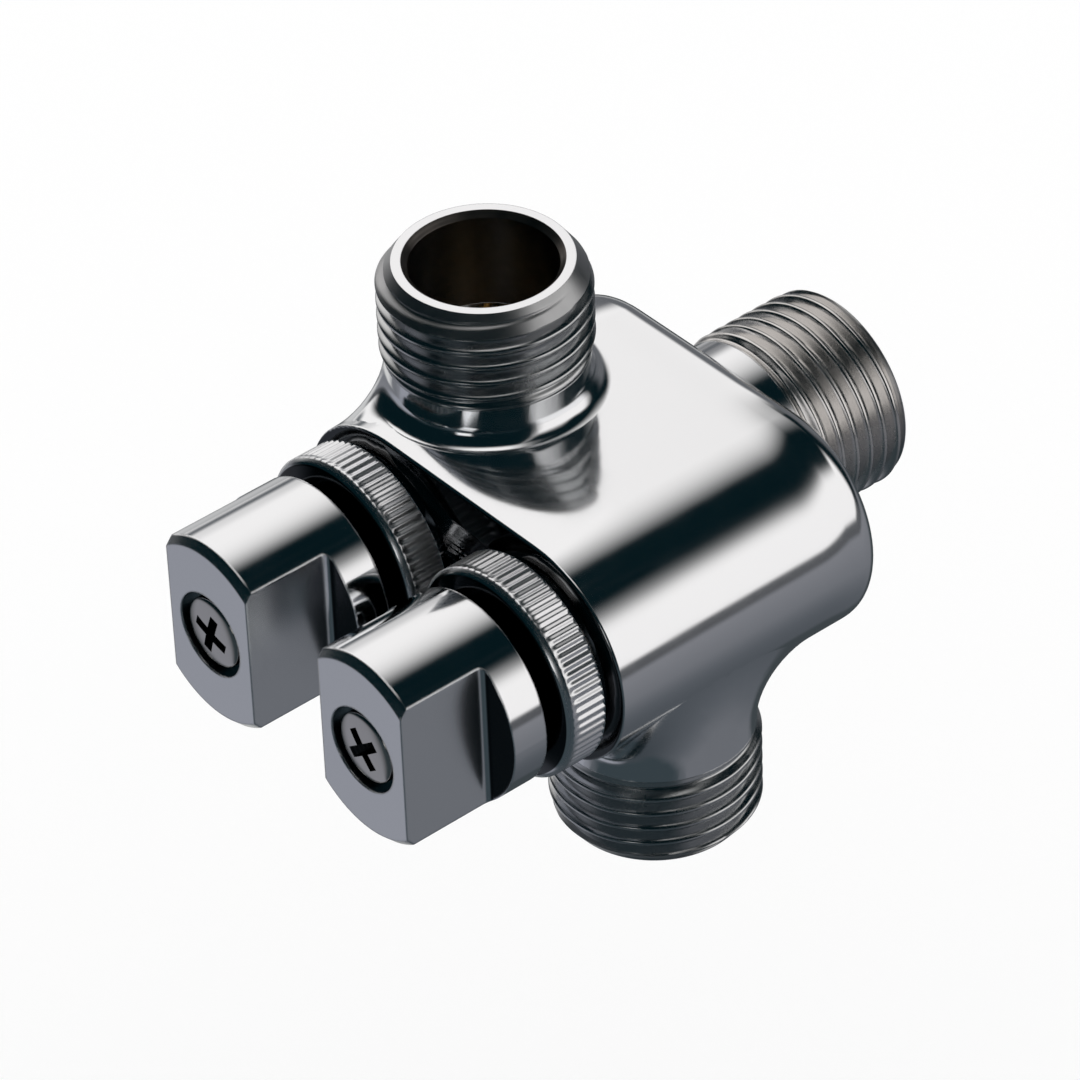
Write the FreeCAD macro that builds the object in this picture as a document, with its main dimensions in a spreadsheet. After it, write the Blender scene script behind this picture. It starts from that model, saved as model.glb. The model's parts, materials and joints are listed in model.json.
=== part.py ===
import FreeCAD, Part
import math
import os
import Sketcher

# Twin shower diverter valve: one chrome body with a rear inlet, a top outlet
# on the left and a bottom outlet on the right, and two quarter-turn valves.
# Lengths are millimetres. The origin is the centre of the rear inlet's end
# face, +Z is up, +X is to the right of someone facing +Y, and the handles
# stand at the -Y end.

os.makedirs("parts", exist_ok=True)
doc = FreeCAD.newDocument("diverter")

# Every size below is a cell of the sheet, and the shapes read the cells.
SIZES = [
    # body
    ("half_spacing", 11.4),
    ("block_radius", 11.85),
    ("block_front", -48.2),
    ("block_rear", -15.1),
    ("front_round", 0.3),
    ("rear_round", 2.6),
    ("port_shift", 0.2),
    ("front_land", 3.45),
    ("port_end", 26.5),
    ("inlet_end", 0.0),
    ("neck_inset", 1.8),
    ("neck_end", 15.9),
    ("inlet_neck_end", -12.1),
    ("thread_radius", 10.4775),
    ("thread_step", 0.45),
    ("top_rim_radius", 8.87),
    ("top_lead", 2.2),
    ("bottom_rim_radius", 9.2),
    ("bottom_lead", 1.7),
    ("bore_radius", 7.3),
    ("bore_edge", 0.6),
    ("base_round", 2.0),
    ("sweep_drop", 3.15),
    ("port_floor", 6.2),
    ("past", 1.0),
    ("gallery_front", -26.9),
    ("gallery_rear", -18.1),
    ("gallery_half", 4.2),
    ("chamber_radius", 8.0),
    ("chamber_floor", -29.9),
    ("counterbore_radius", 9.2),
    ("counterbore_floor", -44.9),
    # bonnet nut
    ("collar_radius", 9.9),
    ("knurl_radius", 11.0),
    ("knurl_rear", -49.7),
    ("knurl_front", -54.0),
    ("knurl_edge", 0.5),
    ("face_rise", 1.35),
    ("boss_radius", 7.6),
    ("boss_front", -56.8),
    ("spigot_radius", 9.05),
    ("spigot_rear", -46.9),
    ("nut_bore", 5.9),
    # cartridge housing
    ("flange_radius", 9.0),
    ("land_radius", 7.85),
    ("neck_tube_radius", 5.65),
    ("neck_tube_front", -55.9),
    ("barrel_radius", 7.2),
    ("barrel_rear", -30.4),
    ("barrel_bore", 6.2),
    ("shoulder", -42.5),
    ("spindle_bore", 3.6),
    ("window_half", 3.9),
    ("window_front", -41.1),
    ("window_rear", -36.1),
    ("ring_groove_radius", 6.6),
    ("ring_groove_front", -44.6),
    ("ring_groove_rear", -43.0),
    ("ring_wire", 0.7),
    # seal, discs and washer
    ("seal_inner", 4.3),
    ("seal_outer", 6.05),
    ("seal_front", -31.9),
    ("fixed_radius", 6.1),
    ("fixed_front", -34.9),
    ("moving_radius", 5.85),
    ("moving_front", -37.9),
    ("hole_inner", 1.3),
    ("hole_outer", 4.9),
    ("hole_half", 2.1),
    ("notch_inner", 1.4),
    ("notch_half", 2.4),
    ("slot_half_width", 1.0),
    ("slot_half_length", 4.2),
    ("slot_depth", 1.0),
    ("washer_outer", 6.0),
    ("washer_rear", -41.7),
    # spindle
    ("shaft_radius", 3.5),
    ("foot_front", -40.5),
    ("tang_gap", 0.05),
    ("square_rear", -57.8),
    ("square_front", -63.0),
    ("square_half", 2.44),
    ("seal_groove_radius", 2.2),
    ("seal_groove_half", 0.75),
    ("seal_rear_at", -46.5),
    ("seal_front_at", -51.1),
    ("seal_wire", 0.675),
    ("clip_groove_radius", 2.8),
    ("clip_inner", 2.85),
    ("clip_outer", 4.6),
    ("clip_rear", -56.0),
    ("clip_front", -56.6),
    ("clip_gap_half", 2.0),
    ("screw_radius", 2.0),
    ("screw_hole_rear", -58.0),
    ("screw_tip", -59.4),
    # handle
    ("handle_radius", 10.2),
    ("skirt_rear", -56.2),
    ("flat_half", 6.05),
    ("flat_rear", -60.1),
    ("flat_round", 0.75),
    ("handle_front", -70.0),
    ("handle_edge", 0.75),
    ("cavity_radius", 8.2),
    ("cavity_floor", -57.8),
    ("socket_half", 2.5),
    ("socket_front", -63.3),
    ("screw_clearance", 2.15),
    ("recess_radius", 4.5),
    ("recess_floor", -67.4),
    # screw
    ("head_radius", 3.7),
    ("head_front", -69.9),
    ("head_edge", 0.8),
    ("cross_depth", 1.5),
    ("cross_arm", 2.15),
    ("cross_half", 0.5),
    ("left_screw_turn", 18.0),
    ("right_screw_turn", 52.0),
]
sheet = doc.addObject("Spreadsheet::Sheet", "dims")
for row, (alias, value) in enumerate(SIZES, start=1):
    sheet.set("A%d" % row, alias)
    sheet.set("B%d" % row, repr(value))
    sheet.setAlias("B%d" % row, alias)
doc.recompute()


def origin_plane(body, role):
    """One of the body's own base planes, found by its role."""
    for item in body.Origin.OriginFeatures:
        if item.Role == role:
            return item
    raise RuntimeError("no plane " + role)


def new_sketch(body, name, role, shift=None):
    """A sketch on a base plane of the body, moved along its normal."""
    sketch = body.newObject("Sketcher::SketchObject", name)
    sketch.AttachmentSupport = (origin_plane(body, role), [""])
    sketch.MapMode = "FlatFace"
    if shift is not None:
        sketch.setExpression("AttachmentOffset.Base.z", shift)
    return sketch


def bind(sketch, index, name, expression):
    """Names a constraint and ties it to the sheet."""
    sketch.renameConstraint(index, name)
    sketch.setExpression("Constraints." + name, expression)


def outline(sketch, points, tag="p"):
    """A closed chain of straight lines; both coordinates of each corner are tied."""
    count = len(points)
    first = sketch.GeometryCount
    corners = []
    for i in range(count):
        angle = 2.0 * math.pi * i / count
        corners.append(FreeCAD.Vector(20.0 * math.cos(angle), 20.0 * math.sin(angle), 0))
    for i in range(count):
        sketch.addGeometry(Part.LineSegment(corners[i], corners[(i + 1) % count]), False)
    for i in range(count):
        here = first + i
        after = first + (i + 1) % count
        sketch.addConstraint(Sketcher.Constraint("Coincident", here, 2, after, 1))
    for i, (across, along) in enumerate(points):
        here = first + i
        number = sketch.addConstraint(
            Sketcher.Constraint("DistanceX", -1, 1, here, 1, corners[i].x))
        bind(sketch, number, "%s%dx" % (tag, i), across)
        number = sketch.addConstraint(
            Sketcher.Constraint("DistanceY", -1, 1, here, 1, corners[i].y))
        bind(sketch, number, "%s%dy" % (tag, i), along)


def ring_outline(sketch, across, along, radius):
    """A circle whose centre and radius are tied to the sheet."""
    number = sketch.addGeometry(
        Part.Circle(FreeCAD.Vector(5, 5, 0), FreeCAD.Vector(0, 0, 1), 1.0), False)
    index = sketch.addConstraint(Sketcher.Constraint("DistanceX", -1, 1, number, 3, 5.0))
    bind(sketch, index, "centre_x", across)
    index = sketch.addConstraint(Sketcher.Constraint("DistanceY", -1, 1, number, 3, 5.0))
    bind(sketch, index, "centre_y", along)
    index = sketch.addConstraint(Sketcher.Constraint("Radius", number, 1.0))
    bind(sketch, index, "radius", radius)


def turned(body, name, points):
    """Turns a half outline (distance from the axis, place along Y) about the Y axis."""
    sketch = new_sketch(body, name + "_outline", "XY_Plane")
    outline(sketch, points)
    doc.recompute()
    feature = body.newObject("PartDesign::Revolution", name)
    feature.Profile = sketch
    feature.ReferenceAxis = (sketch, ["V_Axis"])
    feature.Angle = 360.0
    doc.recompute()
    return feature


def cut_turned(body, name, points):
    """Cuts a turned groove or hole about the Y axis."""
    sketch = new_sketch(body, name + "_outline", "XY_Plane")
    outline(sketch, points)
    doc.recompute()
    feature = body.newObject("PartDesign::Groove", name)
    feature.Profile = sketch
    feature.ReferenceAxis = (sketch, ["V_Axis"])
    feature.Angle = 360.0
    doc.recompute()
    return feature


def cut_between(body, name, points, rear, front):
    """Cuts an outline drawn in X and Z from the place rear to the place front on Y."""
    sketch = new_sketch(body, name + "_outline", "XZ_Plane", "-(%s)" % front)
    outline(sketch, points)
    doc.recompute()
    feature = body.newObject("PartDesign::Pocket", name)
    feature.Profile = sketch
    feature.setExpression("Length", "(%s) - (%s)" % (rear, front))
    doc.recompute()
    return feature


def add_between(body, name, points, rear, front):
    """Adds an outline drawn in X and Z from the place rear to the place front on Y."""
    sketch = new_sketch(body, name + "_outline", "XZ_Plane", "-(%s)" % front)
    outline(sketch, points)
    doc.recompute()
    feature = body.newObject("PartDesign::Pad", name)
    feature.Profile = sketch
    feature.setExpression("Length", "(%s) - (%s)" % (rear, front))
    feature.Reversed = True
    doc.recompute()
    return feature


def cut_across(body, name, sketch):
    """Cuts a sketch drawn in X and Y right through the body along Z."""
    doc.recompute()
    feature = body.newObject("PartDesign::Pocket", name)
    feature.Profile = sketch
    feature.setExpression("Length", "4 * dims.handle_radius")
    feature.Midplane = True
    doc.recompute()
    return feature


def flat_outline(sketch, sign):
    """The outline of one flat of the handle, with a hollow round at its rear."""
    outer = "(dims.handle_radius + dims.past)"
    rear = sheet.flat_rear - sheet.flat_round
    corners = [
        (sheet.flat_half, sheet.handle_front - 1.0,
         "dims.flat_half", "dims.handle_front - dims.past"),
        (sheet.handle_radius + 1.0, sheet.handle_front - 1.0,
         outer, "dims.handle_front - dims.past"),
        (sheet.handle_radius + 1.0, sheet.flat_rear, outer, "dims.flat_rear"),
        (sheet.flat_half + sheet.flat_round, sheet.flat_rear,
         "(dims.flat_half + dims.flat_round)", "dims.flat_rear"),
        (sheet.flat_half, rear, "dims.flat_half", "dims.flat_rear - dims.flat_round"),
    ]
    spots = [FreeCAD.Vector(sign * corner[0], corner[1], 0) for corner in corners]
    centre = FreeCAD.Vector(sign * (sheet.flat_half + sheet.flat_round), rear, 0)
    # A sketch arc runs anticlockwise, so on the left it starts at its front end.
    ends = {i: (1, 2) for i in range(5)}
    low, high = math.pi / 2.0, math.pi
    if sign < 0:
        ends[3] = (2, 1)
        low, high = 0.0, math.pi / 2.0
    circle = Part.Circle(centre, FreeCAD.Vector(0, 0, 1), sheet.flat_round)
    for i in range(5):
        if i == 3:
            sketch.addGeometry(Part.ArcOfCircle(circle, low, high), False)
        else:
            sketch.addGeometry(Part.LineSegment(spots[i], spots[(i + 1) % 5]), False)
    for i in range(5):
        after = (i + 1) % 5
        sketch.addConstraint(
            Sketcher.Constraint("Coincident", i, ends[i][1], after, ends[after][0]))
    for i, corner in enumerate(corners):
        number = sketch.addConstraint(
            Sketcher.Constraint("DistanceX", -1, 1, i, ends[i][0], spots[i].x))
        bind(sketch, number, "p%dx" % i, "%d * %s" % (sign, corner[2]))
        number = sketch.addConstraint(
            Sketcher.Constraint("DistanceY", -1, 1, i, ends[i][0], spots[i].y))
        bind(sketch, number, "p%dy" % i, corner[3])
    number = sketch.addConstraint(Sketcher.Constraint("Radius", 3, sheet.flat_round))
    bind(sketch, number, "round", "dims.flat_round")


def box_points(left, right, low, high):
    """The four corners of a box outline."""
    return [(left, low), (right, low), (right, high), (left, high)]


def solid_disc(body, name, radius, front, rear):
    """A solid disc about the Y axis."""
    return turned(body, name, [("0 * " + radius, front), (radius, front),
                               (radius, rear), ("0 * " + radius, rear)])


def cut_notches(body, name, rear, front):
    """Cuts the two side notches that let water past a disc."""
    for sign, word in ((1, "right"), (-1, "left")):
        cut_between(body, name + "_" + word + "_notch",
                    box_points("%d * dims.notch_inner" % sign,
                               "%d * (dims.moving_radius + dims.past)" % sign,
                               "-dims.notch_half", "dims.notch_half"),
                    rear, front)


def new_body(label, side):
    """An empty body on the axis of the left (-1) or right (1) valve."""
    body = doc.addObject("PartDesign::Body", label)
    body.Label = label
    body.setExpression("Placement.Base.x", "%d * dims.half_spacing" % side)
    return body


nodes = []


def solid(kind, name, **sizes):
    """A plain solid whose sizes are tied to the sheet."""
    item = doc.addObject("Part::" + kind, name)
    for size, expression in sizes.items():
        item.setExpression(size, expression)
    return item


def place(item, along_x, along_y, along_z, rotation):
    """Turns a solid, then ties its place to the sheet."""
    item.Placement = FreeCAD.Placement(FreeCAD.Vector(0, 0, 0), rotation)
    for axis, expression in (("x", along_x), ("y", along_y), ("z", along_z)):
        if expression is not None:
            item.setExpression("Placement.Base." + axis, expression)
    return item


def joined(name, items):
    item = doc.addObject("Part::MultiFuse", name)
    item.Shapes = items
    item.Refine = False
    return item


UP = FreeCAD.Rotation(FreeCAD.Vector(0, 0, 1), 0)
# The same, with the seam of the cylinder on its left side.
UP_TURNED = FreeCAD.Rotation(FreeCAD.Vector(0, 0, 1), 180)
DOWN = FreeCAD.Rotation(FreeCAD.Vector(1, 0, 0), 180)
REARWARD = FreeCAD.Rotation(FreeCAD.Vector(1, 0, 0), -90)
NECK_RADIUS = "(dims.block_radius - dims.neck_inset)"
# The outlets' axes stand front_land plus a neck's radius behind the front face.
PORT_AXIS = "(dims.block_front + dims.front_land + %s)" % NECK_RADIUS

block_depth = "dims.block_rear - dims.block_front"
slab = solid("Box", "slab", Length="2 * dims.half_spacing", Width=block_depth,
             Height="2 * dims.block_radius")
place(slab, "-dims.half_spacing", "dims.block_front", "-dims.block_radius", UP)
ends = []
for side, label in ((-1, "left_end"), (1, "right_end")):
    end = solid("Cylinder", label, Radius="dims.block_radius", Height=block_depth)
    place(end, "%d * dims.half_spacing" % side, "dims.block_front", None, REARWARD)
    ends.append(end)
block = joined("block", [slab] + ends)
block.Refine = True

# Each port is a neck, a short step out and a plain thread zone. The outlets end
# in a lead-in cone; the inlet's thread runs to its end face.
# name, rotation, axis, direction along it, x, y and z where the axis starts,
# end of the neck, end of the port, rim radius, height of the lead-in cone.
PORTS = [
    ("top", UP_TURNED, "z", 1, "-(dims.half_spacing + dims.port_shift)", PORT_AXIS, None,
     "dims.neck_end", "dims.port_end", "dims.top_rim_radius", "dims.top_lead"),
    ("bottom", DOWN, "z", -1, "dims.half_spacing + dims.port_shift", PORT_AXIS, None,
     "dims.neck_end", "dims.port_end", "dims.bottom_rim_radius", "dims.bottom_lead"),
    ("rear", REARWARD, "y", 1, None, PORT_AXIS, None,
     "dims.inlet_neck_end - " + PORT_AXIS, "dims.inlet_end - " + PORT_AXIS, None, None),
]
necks = []
tips = []
bores = []
for name, turn, axis, sign, at_x, at_y, at_z, neck_length, port_length, rim, lead_in in PORTS:
    neck = solid("Cylinder", name + "_neck", Radius=NECK_RADIUS, Height=neck_length)
    place(neck, at_x, at_y, at_z, turn)
    necks.append(neck)

    def along(distance):
        """Place of a solid that starts this far along the port's axis."""
        if axis == "z":
            return at_x, at_y, "%d * (%s)" % (sign, distance)
        return at_x, "%s + (%s)" % (PORT_AXIS, distance), None

    step = solid("Cone", name + "_step", Radius1=NECK_RADIUS,
                 Radius2="dims.thread_radius", Height="dims.thread_step")
    place(step, *along(neck_length), turn)
    zone_end = port_length
    if lead_in is not None:
        zone_end = "(%s) - %s" % (port_length, lead_in)
        lead = solid("Cone", name + "_lead", Radius1="dims.thread_radius",
                     Radius2=rim, Height=lead_in)
        place(lead, *along(zone_end), turn)
        tips.append(lead)
    zone = solid("Cylinder", name + "_thread_zone", Radius="dims.thread_radius",
                 Height="(%s) - (%s) - dims.thread_step" % (zone_end, neck_length))
    place(zone, *along(neck_length + " + dims.thread_step"), turn)
    tips += [step, zone]

    bore_start = "dims.port_floor"
    if axis == "y":
        bore_start = "dims.gallery_front - " + PORT_AXIS
    bore = solid("Cylinder", name + "_bore", Radius="dims.bore_radius",
                 Height="(%s) - (%s) + dims.past" % (port_length, bore_start))
    place(bore, *along(bore_start), turn)
    mouth = solid("Cone", name + "_mouth", Radius1="dims.bore_radius",
                  Radius2="dims.bore_radius + 2 * dims.bore_edge", Height="2 * dims.bore_edge")
    place(mouth, *along(port_length + " - dims.bore_edge"), turn)
    bores += [bore, mouth]

doc.recompute()

# The rear edge of the block is rounded first, because the inlet's neck stands
# too close to it.
rear_edges = []
for number, edge in enumerate(block.Shape.Edges, start=1):
    box = edge.BoundBox
    if box.YMax - box.YMin < 1e-4 and abs(box.YMin - sheet.block_rear) < 1e-4:
        rear_edges.append((number, sheet.rear_round, sheet.rear_round))
rounded_block = doc.addObject("Part::Fillet", "rounded_block")
rounded_block.Base = block
rounded_block.Edges = rear_edges
doc.recompute()
casting = joined("casting", [rounded_block] + necks)
doc.recompute()

# The outer side of each outlet sweeps into the round end of the block. Its
# radius grows from base_round at the flat to side_round at the far side, where
# the sweep meets the neck sweep_drop below the point two thirds of the way up it.
neck_radius = sheet.block_radius - sheet.neck_inset
port_axis = sheet.block_front + sheet.front_land + neck_radius
port_reach = neck_radius + sheet.port_shift
neck_height = sheet.neck_end - sheet.block_radius
sweep_top = sheet.block_radius + neck_height * 2.0 / 3.0 - sheet.sweep_drop
side_round = (sweep_top ** 2 / (sheet.block_radius - port_reach)
              - sheet.block_radius - port_reach) / 2.0

rounds = []
for number, edge in enumerate(casting.Shape.Edges, start=1):
    box = edge.BoundBox
    middle = edge.valueAt((edge.FirstParameter + edge.LastParameter) / 2.0)
    upright = box.XLength + box.YLength < 1e-3
    flat = box.YMax - box.YMin < 1e-4
    at_front = flat and abs(box.YMin - sheet.block_front) < 1e-4
    port_x = sheet.half_spacing + sheet.port_shift
    if middle.z > 0:
        port_x = -port_x
    off_axis = math.hypot(middle.x - port_x, middle.y - port_axis)
    on_neck = abs(off_axis - neck_radius) < 1e-3 and abs(middle.z) < sheet.block_radius + 1e-3
    if at_front:
        rounds.append((number, sheet.front_round, sheet.front_round))
    elif on_neck and abs(abs(middle.z) - sheet.block_radius) < 1e-4:
        rounds.append((number, sheet.base_round, sheet.base_round))
    elif on_neck and not upright:
        start = edge.valueAt(edge.FirstParameter)
        grows = abs(abs(start.z) - sheet.block_radius) < 1e-3
        if edge.Orientation == "Reversed":
            grows = not grows
        if grows:
            rounds.append((number, sheet.base_round, side_round))
        else:
            rounds.append((number, side_round, sheet.base_round))
blended = doc.addObject("Part::Fillet", "blended")
blended.Base = casting
blended.Edges = rounds
doc.recompute()

gallery_depth = "dims.gallery_rear - dims.gallery_front"
gallery = solid("Box", "gallery", Length="2 * dims.half_spacing", Width=gallery_depth,
                Height="2 * dims.gallery_half")
place(gallery, "-dims.half_spacing", "dims.gallery_front", "-dims.gallery_half", UP)
hollows = [gallery]
for side, label in ((-1, "left"), (1, "right")):
    for part_name, radius, start, end in (
            ("seat_hole", "dims.gallery_half", "dims.chamber_floor", "dims.gallery_rear"),
            ("chamber", "dims.chamber_radius", "dims.block_front", "dims.chamber_floor"),
            ("counterbore", "dims.counterbore_radius",
             "dims.block_front - dims.past", "dims.counterbore_floor")):
        hole = solid("Cylinder", label + "_" + part_name, Radius=radius,
                     Height="(%s) - (%s)" % (end, start))
        place(hole, "%d * dims.half_spacing" % side, start, None, REARWARD)
        hollows.append(hole)

outside = joined("outside", [blended] + tips)
inside = joined("inside", hollows + bores)
valve_body = doc.addObject("Part::Cut", "valve_body")
valve_body.Label = "valve_body"
valve_body.Base = outside
valve_body.Tool = inside
valve_body.Refine = True
doc.recompute()
nodes.append(valve_body)


def bonnet_nut(side, word):
    body = new_body(word + "_bonnet_nut", side)
    turned(body, word + "_nut_turned", [
        ("dims.nut_bore", "dims.boss_front"),
        ("dims.boss_radius", "dims.boss_front"),
        ("dims.boss_radius", "dims.knurl_front - dims.face_rise"),
        ("dims.knurl_radius - dims.knurl_edge", "dims.knurl_front"),
        ("dims.knurl_radius", "dims.knurl_front + dims.knurl_edge"),
        ("dims.knurl_radius", "dims.knurl_rear"),
        ("dims.collar_radius", "dims.knurl_rear"),
        ("dims.collar_radius", "dims.block_front"),
        ("dims.spigot_radius", "dims.block_front"),
        ("dims.spigot_radius", "dims.spigot_rear"),
        ("dims.nut_bore", "dims.spigot_rear")])
    return body


def cartridge_housing(side, word):
    body = new_body(word + "_cartridge_housing", side)
    turned(body, word + "_housing_turned", [
        ("dims.spindle_bore", "dims.neck_tube_front"),
        ("dims.neck_tube_radius", "dims.neck_tube_front"),
        ("dims.neck_tube_radius", "dims.spigot_rear"),
        ("dims.flange_radius", "dims.spigot_rear"),
        ("dims.flange_radius", "dims.counterbore_floor"),
        ("dims.land_radius", "dims.counterbore_floor"),
        ("dims.land_radius", "dims.ring_groove_front"),
        ("dims.ring_groove_radius", "dims.ring_groove_front"),
        ("dims.ring_groove_radius", "dims.ring_groove_rear"),
        ("dims.land_radius", "dims.ring_groove_rear"),
        ("dims.land_radius", "dims.shoulder"),
        ("dims.barrel_radius", "dims.shoulder"),
        ("dims.barrel_radius", "dims.barrel_rear"),
        ("dims.barrel_bore", "dims.barrel_rear"),
        ("dims.barrel_bore", "dims.shoulder"),
        ("dims.spindle_bore", "dims.shoulder")])
    sketch = new_sketch(body, word + "_windows_outline", "XY_Plane")
    outline(sketch, box_points("-dims.window_half", "dims.window_half",
                               "dims.window_front", "dims.window_rear"))
    cut_across(body, word + "_windows", sketch)
    return body


def plain_ring(side, word, label, inner, outer, front, rear):
    body = new_body(word + "_" + label, side)
    turned(body, word + "_" + label + "_turned", [
        (inner, front), (outer, front), (outer, rear), (inner, rear)])
    return body


def wire_ring(side, word, label, wire_centre, place_on_axis, wire):
    body = new_body(word + "_" + label, side)
    sketch = new_sketch(body, word + "_" + label + "_wire", "XY_Plane")
    ring_outline(sketch, wire_centre, place_on_axis, wire)
    doc.recompute()
    feature = body.newObject("PartDesign::Revolution", word + "_" + label + "_turned")
    feature.Profile = sketch
    feature.ReferenceAxis = (sketch, ["V_Axis"])
    feature.Angle = 360.0
    doc.recompute()
    return body


def fixed_disc(side, word):
    body = new_body(word + "_fixed_disc", side)
    solid_disc(body, word + "_fixed_blank", "dims.fixed_radius",
               "dims.fixed_front", "dims.seal_front")
    for sign, place_word in ((1, "upper"), (-1, "lower")):
        cut_between(body, word + "_" + place_word + "_hole",
                    box_points("-dims.hole_half", "dims.hole_half",
                               "%d * dims.hole_inner" % sign, "%d * dims.hole_outer" % sign),
                    "dims.seal_front", "dims.fixed_front")
    return body


def moving_disc(side, word):
    body = new_body(word + "_moving_disc", side)
    solid_disc(body, word + "_moving_blank", "dims.moving_radius",
               "dims.moving_front", "dims.fixed_front")
    cut_notches(body, word + "_moving", "dims.fixed_front", "dims.moving_front")
    cut_between(body, word + "_drive_slot",
                box_points("-dims.slot_half_width", "dims.slot_half_width",
                           "-dims.slot_half_length", "dims.slot_half_length"),
                "dims.moving_front + dims.slot_depth", "dims.moving_front")
    return body


def spindle(side, word):
    body = new_body(word + "_spindle", side)
    turned(body, word + "_spindle_turned", [
        ("0 * dims.shaft_radius", "dims.square_rear"),
        ("dims.shaft_radius", "dims.square_rear"),
        ("dims.shaft_radius", "dims.washer_rear"),
        ("dims.moving_radius", "dims.washer_rear"),
        ("dims.moving_radius", "dims.moving_front"),
        ("0 * dims.shaft_radius", "dims.moving_front")])
    for label, middle in (("rear", "dims.seal_rear_at"), ("front", "dims.seal_front_at")):
        cut_turned(body, word + "_" + label + "_seal_groove", [
            ("dims.seal_groove_radius", middle + " - dims.seal_groove_half"),
            ("dims.shaft_radius + dims.past", middle + " - dims.seal_groove_half"),
            ("dims.shaft_radius + dims.past", middle + " + dims.seal_groove_half"),
            ("dims.seal_groove_radius", middle + " + dims.seal_groove_half")])
    cut_turned(body, word + "_clip_groove", [
        ("dims.clip_groove_radius", "dims.clip_front"),
        ("dims.shaft_radius + dims.past", "dims.clip_front"),
        ("dims.shaft_radius + dims.past", "dims.clip_rear"),
        ("dims.clip_groove_radius", "dims.clip_rear")])
    cut_notches(body, word + "_foot", "dims.moving_front", "dims.foot_front")
    add_between(body, word + "_tang",
                box_points("-dims.slot_half_width + dims.tang_gap",
                           "dims.slot_half_width - dims.tang_gap",
                           "-dims.slot_half_length + dims.tang_gap",
                           "dims.slot_half_length - dims.tang_gap"),
                "dims.moving_front + dims.slot_depth - dims.tang_gap", "dims.moving_front")
    add_between(body, word + "_square",
                box_points("-dims.square_half", "dims.square_half",
                           "-dims.square_half", "dims.square_half"),
                "dims.square_rear", "dims.square_front")
    cut_turned(body, word + "_screw_hole", [
        ("0 * dims.screw_radius", "dims.square_front - dims.past"),
        ("dims.screw_radius", "dims.square_front - dims.past"),
        ("dims.screw_radius", "dims.screw_hole_rear"),
        ("0 * dims.screw_radius", "dims.screw_hole_rear")])
    return body


def retaining_clip(side, word):
    body = plain_ring(side, word, "retaining_clip", "dims.clip_inner", "dims.clip_outer",
                      "dims.clip_front", "dims.clip_rear")
    cut_between(body, word + "_clip_gap",
                box_points("-dims.clip_gap_half", "dims.clip_gap_half",
                           "0 * dims.past", "dims.clip_outer + dims.past"),
                "dims.clip_rear", "dims.clip_front")
    return body


def handle(side, word):
    body = new_body(word + "_handle", side)
    turned(body, word + "_handle_turned", [
        ("dims.recess_radius", "dims.handle_front"),
        ("dims.handle_radius - dims.handle_edge", "dims.handle_front"),
        ("dims.handle_radius", "dims.handle_front + dims.handle_edge"),
        ("dims.handle_radius", "dims.skirt_rear"),
        ("dims.cavity_radius", "dims.skirt_rear"),
        ("dims.cavity_radius", "dims.cavity_floor"),
        ("dims.screw_clearance", "dims.cavity_floor"),
        ("dims.screw_clearance", "dims.recess_floor"),
        ("dims.recess_radius", "dims.recess_floor")])
    for sign, label in ((-1, "_left_flat"), (1, "_right_flat")):
        sketch = new_sketch(body, word + label + "_outline", "XY_Plane")
        flat_outline(sketch, sign)
        cut_across(body, word + label, sketch)
    cut_between(body, word + "_socket",
                box_points("-dims.socket_half", "dims.socket_half",
                           "-dims.socket_half", "dims.socket_half"),
                "dims.cavity_floor", "dims.socket_front")
    return body


def handle_screw(side, word):
    body = new_body(word + "_handle_screw", side)
    body.Placement.Rotation = FreeCAD.Rotation(FreeCAD.Vector(0, 1, 0), 1)
    body.setExpression("Placement.Rotation.Angle", "dims.%s_screw_turn" % word)
    turned(body, word + "_screw_turned", [
        ("0 * dims.head_radius", "dims.head_front"),
        ("dims.head_radius - dims.head_edge", "dims.head_front"),
        ("dims.head_radius", "dims.head_front + dims.head_edge"),
        ("dims.head_radius", "dims.recess_floor"),
        ("dims.screw_radius", "dims.recess_floor"),
        ("dims.screw_radius", "dims.screw_tip"),
        ("0 * dims.head_radius", "dims.screw_tip")])
    arm = "dims.cross_arm"
    half = "dims.cross_half"
    cut_between(body, word + "_cross", [
        ("-" + half, "-" + arm), (half, "-" + arm), (half, "-" + half),
        (arm, "-" + half), (arm, half), (half, half),
        (half, arm), ("-" + half, arm), ("-" + half, half),
        ("-" + arm, half), ("-" + arm, "-" + half), ("-" + half, "-" + half)],
        "dims.head_front + dims.cross_depth", "dims.head_front")
    return body


for valve_side, valve_word in ((-1, "left"), (1, "right")):
    nodes.append(handle(valve_side, valve_word))
    nodes.append(handle_screw(valve_side, valve_word))
    nodes.append(bonnet_nut(valve_side, valve_word))
    nodes.append(cartridge_housing(valve_side, valve_word))
    nodes.append(spindle(valve_side, valve_word))
    nodes.append(wire_ring(valve_side, valve_word, "rear_spindle_ring",
                           "dims.seal_groove_radius + dims.seal_wire", "dims.seal_rear_at",
                           "dims.seal_wire"))
    nodes.append(wire_ring(valve_side, valve_word, "front_spindle_ring",
                           "dims.seal_groove_radius + dims.seal_wire", "dims.seal_front_at",
                           "dims.seal_wire"))
    nodes.append(retaining_clip(valve_side, valve_word))
    nodes.append(plain_ring(valve_side, valve_word, "thrust_washer", "dims.spindle_bore",
                            "dims.washer_outer", "dims.shoulder", "dims.washer_rear"))
    nodes.append(wire_ring(valve_side, valve_word, "housing_ring",
                           "dims.ring_groove_radius + dims.ring_wire",
                           "(dims.ring_groove_front + dims.ring_groove_rear) / 2",
                           "dims.ring_wire"))
    nodes.append(moving_disc(valve_side, valve_word))
    nodes.append(fixed_disc(valve_side, valve_word))
    nodes.append(plain_ring(valve_side, valve_word, "seat_seal", "dims.seal_inner",
                            "dims.seal_outer", "dims.seal_front", "dims.chamber_floor"))

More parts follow.
